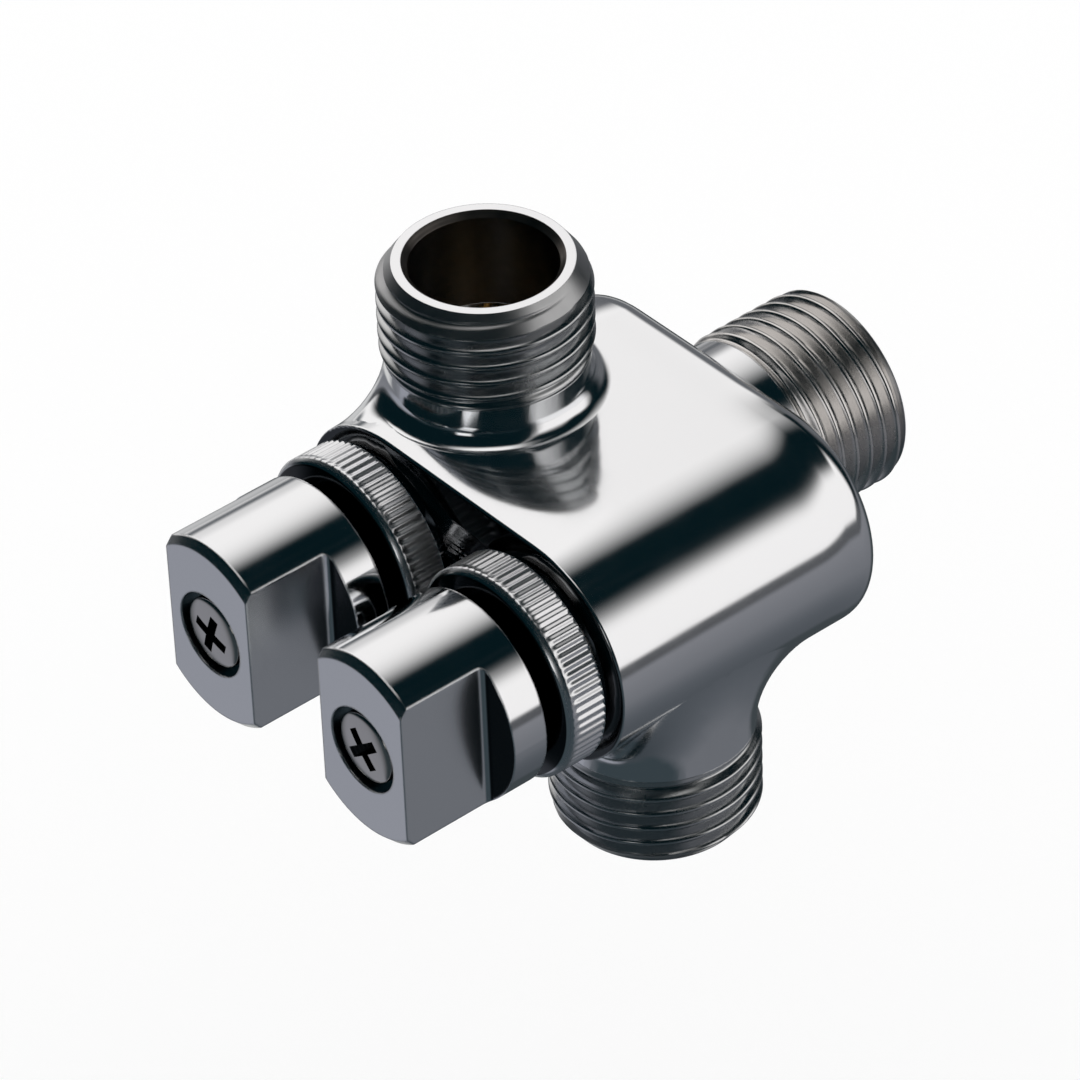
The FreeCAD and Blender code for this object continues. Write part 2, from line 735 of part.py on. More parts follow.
doc.recompute()
for item in doc.Objects:
    for state in item.State:
        if "Invalid" in state or "Error" in state:
            raise RuntimeError("%s is %s" % (item.Label, state))
for node in nodes:
    if node.Shape.isNull() or not node.Shape.isValid() or len(node.Shape.Solids) != 1:
        raise RuntimeError("bad shape in " + node.Label)
    node.Shape.exportStep("parts/%s.step" % node.Label)
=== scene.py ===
import json
import math

import bmesh
import bpy
from mathutils import Matrix, Vector


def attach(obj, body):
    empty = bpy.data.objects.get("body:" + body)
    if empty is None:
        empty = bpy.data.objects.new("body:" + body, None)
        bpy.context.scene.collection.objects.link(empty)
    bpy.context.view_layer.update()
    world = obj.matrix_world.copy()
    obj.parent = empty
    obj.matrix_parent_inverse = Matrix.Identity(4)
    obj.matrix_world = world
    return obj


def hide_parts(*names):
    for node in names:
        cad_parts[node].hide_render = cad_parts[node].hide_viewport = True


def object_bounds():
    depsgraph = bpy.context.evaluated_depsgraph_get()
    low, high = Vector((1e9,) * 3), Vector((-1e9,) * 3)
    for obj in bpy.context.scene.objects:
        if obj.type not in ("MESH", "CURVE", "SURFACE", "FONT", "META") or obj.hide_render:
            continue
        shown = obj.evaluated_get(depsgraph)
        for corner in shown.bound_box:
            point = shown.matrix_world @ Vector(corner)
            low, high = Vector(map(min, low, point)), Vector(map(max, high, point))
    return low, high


# The looks of the twin shower diverter valve. Lengths are metres: +Z is up, -Y is
# the handles' end, and the rear inlet ends at the origin.

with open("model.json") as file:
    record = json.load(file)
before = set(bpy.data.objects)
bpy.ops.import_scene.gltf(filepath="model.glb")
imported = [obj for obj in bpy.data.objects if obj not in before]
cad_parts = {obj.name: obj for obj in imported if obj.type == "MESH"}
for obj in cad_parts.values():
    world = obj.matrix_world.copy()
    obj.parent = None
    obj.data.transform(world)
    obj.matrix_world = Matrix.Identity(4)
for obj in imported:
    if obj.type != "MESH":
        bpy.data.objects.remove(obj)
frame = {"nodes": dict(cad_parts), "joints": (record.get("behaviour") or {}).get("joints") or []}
cad_low, cad_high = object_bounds()
NODES = frame["nodes"]
MM = 0.001

SIDES = {"left": -1, "right": 1}
HALF_SPACING = abs(frame["joints"][0]["pos_m"][0])

# Casting
BLOCK_TOP = 11.85 * MM
BORE_RADIUS = 7.3 * MM
BORE_EDGE = 0.6 * MM
NECK_RADIUS = 10.05 * MM
NECK_HEIGHT = 15.9 * MM
INLET_NECK_END = -12.1 * MM
OUTLET_X = HALF_SPACING + 0.2 * MM
OUTLET_Y = -34.7 * MM
CHAMBER_RADIUS = 9.2 * MM
BLOCK_REAR = -15.1 * MM
REAR_ROUND = 2.6 * MM
# Where the block starts to curve down towards its ends, and how fast: the front
# evenly with each mm, the rear with the square of the mm.
FRONT_CROWN_FROM = -38.0 * MM
FRONT_CROWN = 0.031
REAR_CROWN_FROM = -23.0 * MM
REAR_CROWN = 0.004
# Where the front curve fades towards the sides, and the share that is left there.
CROWN_FADE = (HALF_SPACING - 1.0 * MM, HALF_SPACING + 3.0 * MM)
CROWN_LEFT = 0.12
# Where the rear right end turns sideways, how fast, and the most it turns.
END_CROWN_FADE = (HALF_SPACING - 7.0 * MM, HALF_SPACING)
END_CROWN = 0.013
END_CROWN_MOST = 0.2
PORT_FLOOR = 6.0 * MM
INLET_FLOOR = -27.0 * MM
CHAMBER_REAR = -17.0 * MM
# How far off a face a point may be and still count as a point of it.
SLACK = 0.05 * MM

# Pipe thread on the three ports
THREAD_CREST = 10.4775 * MM
THREAD_DEPTH = 1.15 * MM
THREAD_PITCH = 1.814 * MM
THREAD_RUN_OUT = 1.6 * MM
# Where the root ends and the crest starts, from 0 in mid root to 1 in mid crest.
THREAD_SLOPE = (0.02, 0.9)
# Distances before the port's end where the thread is gone and where it is whole.
THREAD_FADE = (0.1 * MM, 0.7 * MM)

# Bonnet nuts: distances from the valve's axis, and places along Y
NUT_BORE = 5.9 * MM
BOSS_RADIUS = 7.6 * MM
BOSS_FRONT = -56.8 * MM
KNURL_RADIUS = 11.0 * MM
KNURL_REAR = -49.7 * MM
KNURL_FRONT = -54.0 * MM
KNURL_EDGE = 0.5 * MM
KNURL_DEPTH = 0.2 * MM
KNURL_TEETH = 72
# Distances before the nut's front where the teeth are gone and where they are whole.
KNURL_FADE = (0.55 * MM, 1.3 * MM)
NUT_LIP = 0.25 * MM
FACE_RISE = 1.35 * MM
COLLAR_RADIUS = 9.9 * MM
BLOCK_FRONT = -48.2 * MM
SPIGOT_RADIUS = 9.05 * MM
SPIGOT_REAR = -46.9 * MM

# Handles
HANDLE_RADIUS = 10.2 * MM
FLAT_REAR = -60.1 * MM

# Handle screws
HEAD_RADIUS = 3.7 * MM
HEAD_SEAT = -67.4 * MM
HEAD_RIM = -69.5 * MM
HEAD_CROWN = -70.0 * MM
SHANK_RADIUS = 2.0 * MM
SHANK_TIP = -59.4 * MM
SCREW_TURN = {"left": 18.0, "right": 52.0}
DOME_STEPS = 12
DOME_BULGE = 0.75
CROSS_ARM = 2.4 * MM
CROSS_HALF = 0.56 * MM
CROSS_DEPTH = 1.5 * MM


def add_node(tree, kind, inputs=None, **settings):
    """Adds a node. An input given as a socket is linked, any other value is set."""
    made = tree.nodes.new(kind)
    for name, value in settings.items():
        setattr(made, name, value)
    for key, value in (inputs or {}).items():
        if isinstance(value, bpy.types.NodeSocket):
            tree.links.new(value, made.inputs[key])
        else:
            made.inputs[key].default_value = value
    return made


def maths(tree, operation, first, second=0.0, third=0.0):
    """One sum on numbers or sockets; gives its result."""
    made = add_node(tree, "ShaderNodeMath", {0: first, 1: second, 2: third},
                    operation=operation)
    return made.outputs[0]


def eased(tree, value, low, high, start=0.0, end=1.0):
    """Goes gently from start to end while value goes from low to high."""
    made = add_node(tree, "ShaderNodeMapRange",
                    {"Value": value, "From Min": low, "From Max": high,
                     "To Min": start, "To Max": end}, interpolation_type="SMOOTHSTEP")
    return made.outputs["Result"]


def varied(tree, noise, start, end):
    """Goes gently from start to end over the usual range of a noise."""
    return eased(tree, noise.outputs["Fac"], 0.3, 0.7, start, end)


def below(tree, value, limit, softness):
    """1 where the value stays below the limit by the softness, 0 beyond the limit."""
    return eased(tree, value, limit - softness, limit, 1.0, 0.0)


def blend(tree, factor, first, second):
    """Mixes two colours, each a value or a socket; gives the result."""
    made = add_node(tree, "ShaderNodeMix", {"Factor": factor, 6: first, 7: second},
                    data_type="RGBA")
    return made.outputs[2]


def new_finish(name):
    """A node material with one surface shader; gives the material, tree and shader."""
    material = bpy.data.materials.new(name)
    material.use_nodes = True
    tree = material.node_tree
    return material, tree, tree.nodes["Principled BSDF"]


def object_place(tree):
    return add_node(tree, "ShaderNodeTexCoord").outputs["Object"]


def crowned(tree, normal):
    """Leans the block's normals outward towards its ends, as if it were barrelled."""
    split = add_node(tree, "ShaderNodeSeparateXYZ", {"Vector": object_place(tree)}).outputs
    ahead = maths(tree, "MAXIMUM", maths(tree, "SUBTRACT", FRONT_CROWN_FROM, split["Y"]), 0.0)
    aside = eased(tree, maths(tree, "ABSOLUTE", split["X"]), *CROWN_FADE, 1.0, CROWN_LEFT)
    forward = maths(tree, "MULTIPLY", maths(tree, "MULTIPLY", ahead, aside), FRONT_CROWN / MM)
    behind = maths(tree, "MAXIMUM", maths(tree, "SUBTRACT", split["Y"], REAR_CROWN_FROM), 0.0)
    behind = maths(tree, "MULTIPLY", behind, behind)
    backward = maths(tree, "MULTIPLY", behind, REAR_CROWN / MM ** 2)
    sideways = maths(tree, "MINIMUM", maths(tree, "MULTIPLY", behind, END_CROWN / MM ** 2),
                     END_CROWN_MOST)
    sideways = maths(tree, "MULTIPLY", sideways, eased(tree, split["X"], *END_CROWN_FADE))
    level = maths(tree, "LESS_THAN", maths(tree, "ABSOLUTE", split["Z"]), BLOCK_TOP + SLACK)
    before_neck = maths(tree, "LESS_THAN", split["Y"], BLOCK_REAR + SLACK)
    on_block = maths(tree, "MULTIPLY", level, before_neck)
    shift = add_node(tree, "ShaderNodeCombineXYZ", {
        "X": maths(tree, "MULTIPLY", sideways, on_block),
        "Y": maths(tree, "MULTIPLY", maths(tree, "SUBTRACT", backward, forward), on_block)})
    moved = add_node(tree, "ShaderNodeVectorMath", {0: normal, 1: shift.outputs[0]})
    return add_node(tree, "ShaderNodeVectorMath", {0: moved.outputs["Vector"]},
                    operation="NORMALIZE").outputs["Vector"]


def chrome(name, colour, smooth, rough, waviness, edge, crown=False):
    """Plated brass: mirror metal with uneven polish, faint waves and soft edges."""
    material, tree, shader = new_finish(name)
    where = object_place(tree)
    shader.inputs["Base Color"].default_value = colour
    shader.inputs["Metallic"].default_value = 1.0
    haze = add_node(tree, "ShaderNodeTexNoise",
                    {"Vector": where, "Scale": 260.0, "Detail": 5.0, "Roughness": 0.6})
    tree.links.new(varied(tree, haze, smooth, rough), shader.inputs["Roughness"])
    waves = add_node(tree, "ShaderNodeTexNoise",
                     {"Vector": where, "Scale": 140.0, "Detail": 1.5})
    normal = add_node(tree, "ShaderNodeBevel", {"Radius": edge}, samples=6).outputs["Normal"]
    if crown:
        normal = crowned(tree, normal)
    polish = add_node(tree, "ShaderNodeBump",
                      {"Height": waves.outputs["Fac"], "Distance": waviness,
                       "Strength": 1.0, "Normal": normal})
    tree.links.new(polish.outputs["Normal"], shader.inputs["Normal"])
    return material


def off_axis(tree, where):
    """How far a point is from the axis of the nearer valve, and its place along Y."""
    split = add_node(tree, "ShaderNodeSeparateXYZ", {"Vector": where}).outputs
    across = maths(tree, "SUBTRACT", maths(tree, "ABSOLUTE", split["X"]), HALF_SPACING)
    reach = maths(tree, "SQRT", maths(tree, "ADD", maths(tree, "MULTIPLY", across, across),
                                      maths(tree, "MULTIPLY", split["Z"], split["Z"])))
    return reach, split["Y"]


def satin_where(material, amount_of, rough):
    """Dulls the polish of a chrome where amount_of gives 1."""
    tree = material.node_tree
    shader = tree.nodes["Principled BSDF"]
    polished = shader.inputs["Roughness"].links[0].from_socket
    reach, along = off_axis(tree, object_place(tree))
    dulled = add_node(tree, "ShaderNodeMix",
                      {"Factor": amount_of(tree, reach, along), "A": polished, "B": rough},
                      data_type="FLOAT")
    tree.links.new(dulled.outputs["Result"], shader.inputs["Roughness"])


def coloured_where(material, amount_of, colour):
    """Gives a chrome another colour where amount_of gives 1; every use here paints shade."""
    tree = material.node_tree
    shader = tree.nodes["Principled BSDF"]
    plain = tuple(shader.inputs["Base Color"].default_value)
    reach, along = off_axis(tree, object_place(tree))
    tree.links.new(blend(tree, amount_of(tree, reach, along), plain, colour),
                   shader.inputs["Base Color"])


def milled_flats(tree, reach, along):
    """1 on the flats and the front of a handle, 0 on its turned faces."""
    inside = below(tree, reach, HANDLE_RADIUS - 0.1 * MM, 0.15 * MM)
    ahead = below(tree, along, FLAT_REAR - 0.3 * MM, 0.3 * MM)
    return maths(tree, "MULTIPLY", inside, ahead)


def flat_shoulder(tree, reach, along):
    """1 on the shoulder at the rear end of a flat, where shade is painted."""
    inside = below(tree, reach, HANDLE_RADIUS - SLACK, 0.1 * MM)
    there = eased(tree, along, FLAT_REAR - 0.15 * MM, FLAT_REAR - SLACK)
    return maths(tree, "MULTIPLY", inside, there)


def knurled_rim(tree, reach, along):
    """1 on the knurl of a nut, 0 on its faces, wherever it is along the axis."""
    return eased(tree, reach, KNURL_RADIUS - 0.5 * MM, KNURL_RADIUS - 0.25 * MM)


def nut_face(tree, reach, along):
    """1 on the front face of a nut, inside its knurl, where shade is painted."""
    inside = below(tree, reach, KNURL_RADIUS - KNURL_EDGE, 0.1 * MM)
    ahead = below(tree, along, KNURL_FRONT + SLACK, 0.1 * MM)
    return maths(tree, "MULTIPLY", inside, ahead)


def block_front(tree, reach, along):
    """1 on the front face of the block, where the shadow of the nuts is painted."""
    return below(tree, along, BLOCK_FRONT + 0.1 * MM, 0.08 * MM)


def turned_metal(name, colour, dark_colour, rough, axis, spacing):
    """Metal with fine turning lines round an axis, where 0, 1 and 2 are X, Y and Z."""
    material, tree, shader = new_finish(name)
    where = object_place(tree)
    along = add_node(tree, "ShaderNodeSeparateXYZ", {"Vector": where}).outputs[axis]
    lines = maths(tree, "SINE", maths(tree, "MULTIPLY", along, 2.0 * math.pi / spacing))
    blotches = add_node(tree, "ShaderNodeTexNoise",
                        {"Vector": where, "Scale": 320.0, "Detail": 4.0})
    tree.links.new(blend(tree, blotches.outputs["Fac"], dark_colour, colour),
                   shader.inputs["Base Color"])
    shader.inputs["Metallic"].default_value = 1.0
    tree.links.new(varied(tree, blotches, rough, rough + 0.12), shader.inputs["Roughness"])
    groove = add_node(tree, "ShaderNodeBump",
                      {"Height": lines, "Distance": 0.004 * MM, "Strength": 0.6})
    tree.links.new(groove.outputs["Normal"], shader.inputs["Normal"])
    return material


def moulded(name, colour, rough, grain):
    """Moulded rubber, plastic or fired ceramic, with a fine grain."""
    material, tree, shader = new_finish(name)
    where = object_place(tree)
    specks = add_node(tree, "ShaderNodeTexNoise",
                      {"Vector": where, "Scale": 2400.0, "Detail": 4.0})
    paler = [min(1.0, 1.25 * part + 0.004) for part in colour[:3]] + [1.0]
    tree.links.new(blend(tree, specks.outputs["Fac"], colour, paler),
                   shader.inputs["Base Color"])
    tree.links.new(varied(tree, specks, rough, rough + 0.1), shader.inputs["Roughness"])
    skin = add_node(tree, "ShaderNodeBump",
                    {"Height": specks.outputs["Fac"], "Distance": grain, "Strength": 0.5})
    tree.links.new(skin.outputs["Normal"], shader.inputs["Normal"])
    return material


CHROME_COLOUR = (0.9, 0.91, 0.925, 1.0)
# Near-black colour painted on chrome where it lies in shade: painted shade.
SHADE = (0.03, 0.036, 0.042, 1.0)
BODY_CHROME = chrome("body chrome", CHROME_COLOUR, 0.09, 0.12, 0.015 * MM, 0.15 * MM, True)
HANDLE_CHROME = chrome("handle chrome", CHROME_COLOUR, 0.06, 0.1, 0.008 * MM, 0.35 * MM)
# The threads are a darker chrome than the body, and the lead cone darker still: painted shade for
# the deep thread grooves and the lead cone.
THREAD_CHROME = chrome("thread chrome", (0.62, 0.63, 0.635, 1.0), 0.14, 0.28,
                       0.07 * MM, 0.04 * MM)
LEAD_CHROME = chrome("lead cone chrome", (0.5, 0.505, 0.51, 1.0), 0.3, 0.4,
                     0.05 * MM, 0.04 * MM)
INLET_CHROME = chrome("inlet chrome", (0.72, 0.705, 0.69, 1.0), 0.16, 0.3,
                      0.07 * MM, 0.04 * MM)
NUT_CHROME = chrome("nut chrome", CHROME_COLOUR, 0.08, 0.13, 0.01 * MM, 0.05 * MM)
SCREW_CHROME = chrome("screw chrome", (0.66, 0.64, 0.62, 1.0), 0.1, 0.18,
                      0.05 * MM, 0.1 * MM)
satin_where(HANDLE_CHROME, milled_flats, 0.24)
satin_where(NUT_CHROME, knurled_rim, 0.28)
# Painted shade on the shoulder at the rear end of each handle flat.
coloured_where(HANDLE_CHROME, flat_shoulder, SHADE)
# Painted shade on the front face of each nut, inside its knurl.
coloured_where(NUT_CHROME, nut_face, SHADE)
# Painted shadow of the nuts on the front face of the block.
coloured_where(BODY_CHROME, block_front, SHADE)

RAW_BORE = turned_metal("raw bore", (0.21, 0.185, 0.165, 1.0), (0.1, 0.098, 0.095, 1.0),
                        0.28, 2, 0.35 * MM)
TURNED_BRASS = turned_metal("turned brass", (0.78, 0.57, 0.28, 1.0), (0.6, 0.42, 0.19, 1.0),
                            0.2, 1, 0.22 * MM)
CLIP_STEEL = turned_metal("clip steel", (0.62, 0.61, 0.6, 1.0), (0.45, 0.44, 0.43, 1.0),
                          0.25, 1, 0.15 * MM)
# Near-black metal on the walls and floor of the screws' cross recesses: painted shade.
PAINTED_RECESS_SHADE = turned_metal("painted recess shade", (0.05, 0.055, 0.06, 1.0),
                            (0.02, 0.022, 0.025, 1.0), 0.3, 1, 0.3 * MM)
SEAL_RUBBER = moulded("seal rubber", (0.018, 0.018, 0.02, 1.0), 0.5, 0.006 * MM)
WASHER_PLASTIC = moulded("washer plastic", (0.75, 0.73, 0.68, 1.0), 0.35, 0.004 * MM)
DISC_CERAMIC = moulded("disc ceramic", (0.82, 0.81, 0.78, 1.0), 0.18, 0.002 * MM)


def new_piece(name, mesh, body):
    """Links a finished mesh as a piece that rides on a body."""
    piece = bpy.data.objects.new(name, mesh)
    bpy.context.scene.collection.objects.link(piece)
    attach(piece, body)
    return piece


def even_shading(mesh, angle):
    """Smooth shading that breaks at edges sharper than the angle, flats kept flat."""
    mesh.shade_smooth()
    mesh.set_sharp_from_angle(angle=math.radians(angle))
    holder = bpy.data.objects.new("holder", mesh)
    bpy.context.scene.collection.objects.link(holder)
    modifier = holder.modifiers.new("flats", "WEIGHTED_NORMAL")
    modifier.keep_sharp = True
    modifier.weight = 80
    graph = bpy.context.evaluated_depsgraph_get()
    even = bpy.data.meshes.new_from_object(holder.evaluated_get(graph))
    bpy.data.objects.remove(holder)
    return even


def lathe(shape, outline, around, material_index=0):
    """Turns an outline of (radius, height) about Z into the bmesh."""
    rings = []
    for radius, height in outline:
        if radius < 1e-9:
            rings.append([shape.verts.new((0.0, 0.0, height))] * around)
            continue
        ring = []
        for step in range(around):
            angle = 2.0 * math.pi * step / around
            ring.append(shape.verts.new((radius * math.cos(angle),
                                         radius * math.sin(angle), height)))
        rings.append(ring)
    for low, high in zip(rings, rings[1:]):
        for step in range(around):
            after = (step + 1) % around
            corners = [low[step], low[after], high[after], high[step]]
            corners = [v for i, v in enumerate(corners) if v not in corners[:i]]
            face = shape.faces.new(corners)
            face.material_index = material_index
            face.smooth = True


# One tree shapes the wall of a port, another the rim of a nut. Each wraps a flat
# grid round the Z axis and pushes it in and out.

def new_tree(name, inputs):
    """An empty geometry tree with named number inputs and a material input."""
    tree = bpy.data.node_groups.new(name, "GeometryNodeTree")
    keys = {}
    for label, kind in inputs.items():
        socket = tree.interface.new_socket(label, in_out="INPUT", socket_type=kind)
        keys[label] = socket.identifier
    tree.interface.new_socket("Geometry", in_out="OUTPUT", socket_type="NodeSocketGeometry")
    return tree, keys


def wrapped_wall(tree, given, radius_of, turns, rows):
    """A grid rolled into a tube; radius_of gives the radius from turn and height."""
    grid = add_node(tree, "GeometryNodeMeshGrid",
                    {"Size X": 1.0, "Size Y": 1.0, "Vertices X": turns, "Vertices Y": rows})
    spot = add_node(tree, "GeometryNodeInputPosition").outputs[0]
    split = add_node(tree, "ShaderNodeSeparateXYZ", {"Vector": spot})
    turn = maths(tree, "ADD", split.outputs["X"], 0.5)
    share = maths(tree, "ADD", split.outputs["Y"], 0.5)
    height = maths(tree, "MULTIPLY", share, given["Height"])
    radius = radius_of(turn, height)
    angle = maths(tree, "MULTIPLY", turn, 2.0 * math.pi)
    rolled = add_node(tree, "ShaderNodeCombineXYZ",
                      {"X": maths(tree, "MULTIPLY", radius, maths(tree, "COSINE", angle)),
                       "Y": maths(tree, "MULTIPLY", radius, maths(tree, "SINE", angle)),
                       "Z": maths(tree, "ADD", height, given["Foot"])})
    moved = add_node(tree, "GeometryNodeSetPosition",
                     {"Geometry": grid.outputs["Mesh"], "Position": rolled.outputs[0]})
    closed = add_node(tree, "GeometryNodeMergeByDistance",
                      {"Geometry": moved.outputs[0], "Distance": 0.002 * MM})
    smooth = add_node(tree, "GeometryNodeSetShadeSmooth", {"Geometry": closed.outputs[0]})
    real = add_node(tree, "GeometryNodeRealizeInstances", {"Geometry": smooth.outputs[0]})
    coated = add_node(tree, "GeometryNodeSetMaterial",
                      {"Geometry": real.outputs[0], "Material": given["Material"]})
    end = add_node(tree, "NodeGroupOutput")
    tree.links.new(coated.outputs[0], end.inputs[0])


NUMBER = "NodeSocketFloat"
COUNT = "NodeSocketInt"


def thread_tree():
    """A right-hand pipe thread that runs out at the neck and ends in a lead cone."""
    tree, keys = new_tree("pipe thread", {
        "Around": COUNT, "Rows": COUNT, "Foot": NUMBER, "Height": NUMBER,
        "Neck radius": NUMBER, "Crest radius": NUMBER, "Thread depth": NUMBER,
        "Pitch": NUMBER, "Run-out": NUMBER, "Lead height": NUMBER, "Rim radius": NUMBER,
        "Material": "NodeSocketMaterial"})
    given = add_node(tree, "NodeGroupInput").outputs

    def radius(turn, height):
        coil = maths(tree, "SUBTRACT", maths(tree, "DIVIDE", height, given["Pitch"]), turn)
        part = maths(tree, "FRACT", coil)
        ridge = maths(tree, "ABSOLUTE", maths(tree, "MULTIPLY_ADD", part, 2.0, -1.0))
        groove = eased(tree, ridge, *THREAD_SLOPE, 1.0, 0.0)
        cut = maths(tree, "MULTIPLY", groove, given["Thread depth"])
        threaded = maths(tree, "SUBTRACT", given["Crest radius"], cut)
        started = eased(tree, height, 0.0, given["Run-out"])
        from_neck = maths(tree, "SUBTRACT", threaded, given["Neck radius"])
        grown = maths(tree, "MULTIPLY_ADD", from_neck, started, given["Neck radius"])
        left = maths(tree, "SUBTRACT", given["Height"], height)
        slope = maths(tree, "DIVIDE",
                      maths(tree, "SUBTRACT", given["Crest radius"], given["Rim radius"]),
                      given["Lead height"])
        cone = maths(tree, "MULTIPLY_ADD", left, slope, given["Rim radius"])
        limited = maths(tree, "MINIMUM", grown, cone)
        ended = eased(tree, left, *THREAD_FADE, 1.0, 0.0)
        to_cone = maths(tree, "SUBTRACT", cone, limited)
        return maths(tree, "MULTIPLY_ADD", to_cone, ended, limited)

    around = maths(tree, "ADD", given["Around"], 1.0)
    wrapped_wall(tree, given, radius, around, given["Rows"])
    return tree, keys


def knurl_tree():
    """Straight knurling of round teeth that fade out at the front edge."""
    tree, keys = new_tree("straight knurl", {
        "Around": COUNT, "Rows": COUNT, "Foot": NUMBER, "Height": NUMBER,
        "Teeth": NUMBER, "Crest radius": NUMBER, "Tooth depth": NUMBER,
        "Edge": NUMBER, "Material": "NodeSocketMaterial"})
    given = add_node(tree, "NodeGroupInput").outputs

    def radius(turn, height):
        part = maths(tree, "FRACT", maths(tree, "MULTIPLY", turn, given["Teeth"]))
        flank = maths(tree, "ABSOLUTE", maths(tree, "MULTIPLY_ADD", part, 2.0, -1.0))
        groove = eased(tree, flank, 0.0, 1.0)
        left = maths(tree, "SUBTRACT", given["Height"], height)
        inside = eased(tree, left, *KNURL_FADE)
        cut = maths(tree, "MULTIPLY", maths(tree, "MULTIPLY", groove, inside),
                    given["Tooth depth"])
        chamfer = maths(tree, "MAXIMUM", maths(tree, "SUBTRACT", given["Edge"], left), 0.0)
        return maths(tree, "SUBTRACT", maths(tree, "SUBTRACT", given["Crest radius"], cut),
                     chamfer)

    around = maths(tree, "ADD", given["Around"], 1.0)
    wrapped_wall(tree, given, radius, around, given["Rows"])
    return tree, keys


def wall_from(tree, keys, values):
    """Runs a wall tree with these values and gives its plain mesh."""
    holder = bpy.data.objects.new("wall", bpy.data.meshes.new("wall"))
    bpy.context.scene.collection.objects.link(holder)
    modifier = holder.modifiers.new("wall", "NODES")
    modifier.node_group = tree
    for label, value in values.items():
        modifier[keys[label]] = value
    graph = bpy.context.evaluated_depsgraph_get()
    mesh = bpy.data.meshes.new_from_object(holder.evaluated_get(graph))
    bpy.data.objects.remove(holder)
    return mesh


def wall_and_rest(name, wall, outline, around, materials, rest_index, place):
    """Welds a wall to the turned faces that close it, and puts it in its place."""
    shape = bmesh.new()
    shape.from_mesh(wall)
    for face in shape.faces:
        face.material_index = 0
    lathe(shape, outline, around, rest_index)
    bmesh.ops.remove_doubles(shape, verts=shape.verts, dist=0.003 * MM)
    bmesh.ops.recalc_face_normals(shape, faces=shape.faces)
    shape.transform(place)
    mesh = bpy.data.meshes.new(name)
    shape.to_mesh(mesh)
    shape.free()
    for material in materials:
        mesh.materials.append(material)
    mesh.shade_smooth()
    mesh.set_sharp_from_angle(angle=math.radians(40.0))
    return mesh


PORT_AROUND = 160
PORT_ROWS = 110
NUT_ROWS = 24
STEPS_PER_TOOTH = 10
TO_MINUS_Z = Matrix.Rotation(math.pi, 4, "X")
TO_PLUS_Y = Matrix.Rotation(-math.pi / 2.0, 4, "X")

# Each port: where its axis starts and how it turns, where its neck and the port end
# along the axis, the radius of its rim, the height of the cone behind it, its finish.
PORTS = {
    "top_port": (Matrix.Translation((-OUTLET_X, OUTLET_Y, 0.0)),
                 NECK_HEIGHT, cad_high.z, 8.87 * MM, 2.2 * MM, THREAD_CHROME),
    "bottom_port": (Matrix.Translation((OUTLET_X, OUTLET_Y, 0.0)) @ TO_MINUS_Z,
                    NECK_HEIGHT, -cad_low.z, 9.2 * MM, 1.7 * MM, THREAD_CHROME),
    "rear_port": (TO_PLUS_Y, INLET_NECK_END, cad_high.y, 10.0 * MM, 0.5 * MM, INLET_CHROME),
}
CASTING_CUT = 0.05 * MM


def from_spine(point):
    """The way to a point, across Y, from the flat core between the block's round sides."""
    beyond = max(abs(point.x) - HALF_SPACING, 0.0)
    return Vector((math.copysign(beyond, point.x), 0.0, point.z))


def true_normal(centre, spot):
    """The exact normal at a spot of a plain face round this centre, or None elsewhere."""
    near = 0.04 * MM
    front_end = BLOCK_FRONT + 0.4 * MM
    neck_start = BLOCK_REAR - 0.5 * MM
    off_neck = math.hypot(centre.x, centre.z) - NECK_RADIUS
    if centre.y > neck_start and abs(off_neck) < near:
        return Vector((spot.x, 0.0, spot.z)).normalized()
    if abs(centre.y - BLOCK_REAR) < 0.005 * MM:
        return Vector((0.0, 1.0, 0.0))
    inset = BLOCK_TOP - REAR_ROUND
    round_start = BLOCK_REAR - REAR_ROUND
    out = from_spine(centre).length
    past = centre.y - round_start
    if past < 0.0:
        if abs(out - BLOCK_TOP) < near and centre.y > front_end:
            return from_spine(spot).normalized()
        return None
    if abs(math.hypot(out - inset, past) - REAR_ROUND) < near:
        outward = from_spine(spot).normalized()
        rise = max(from_spine(spot).length - inset, 0.0)
        back = max(spot.y - round_start, 0.0)
        return (outward * rise + Vector((0.0, back, 0.0))).normalized()
    return None


def true_shading(mesh):
    """Sets the exact normals on the plain faces of the block."""
    normals = [corner.vector.copy() for corner in mesh.corner_normals]
    for face in mesh.polygons:
        for corner in face.loop_indices:
            spot = mesh.vertices[mesh.loops[corner].vertex_index].co
            exact = true_normal(face.center, spot)
            if exact is not None:
                normals[corner] = exact
    mesh.normals_split_custom_set(normals)


def casting():
    """The cast block with its three necks, cut off just before the threads start."""
    shape = bmesh.new()
    shape.from_mesh(NODES["valve_body"].data)
    bmesh.ops.remove_doubles(shape, verts=shape.verts, dist=0.0005 * MM)
    cuts = [(Vector((0, 0, NECK_HEIGHT - CASTING_CUT)), Vector((0, 0, 1))),
            (Vector((0, 0, CASTING_CUT - NECK_HEIGHT)), Vector((0, 0, -1))),
            (Vector((0, INLET_NECK_END - CASTING_CUT, 0)), Vector((0, 1, 0)))]
    for point, outward in cuts:
        everything = shape.verts[:] + shape.edges[:] + shape.faces[:]
        bmesh.ops.bisect_plane(shape, geom=everything, plane_co=point, plane_no=outward,
                               clear_outer=True, dist=1e-7)
        rim = [edge for edge in shape.edges if edge.is_boundary]
        bmesh.ops.bridge_loops(shape, edges=rim)
    for face in shape.faces:
        spot = face.calc_center_median()
        if in_hollow(spot):
            face.material_index = 1
        elif spot.y > BLOCK_REAR + 0.01 * MM:
            face.material_index = 2
    mesh = bpy.data.meshes.new("casting")
    shape.to_mesh(mesh)
    shape.free()
    mesh = even_shading(mesh, 25.0)
    true_shading(mesh)
    mesh.materials.clear()
    for material in (BODY_CHROME, RAW_BORE, INLET_CHROME):
        mesh.materials.append(material)
    return mesh


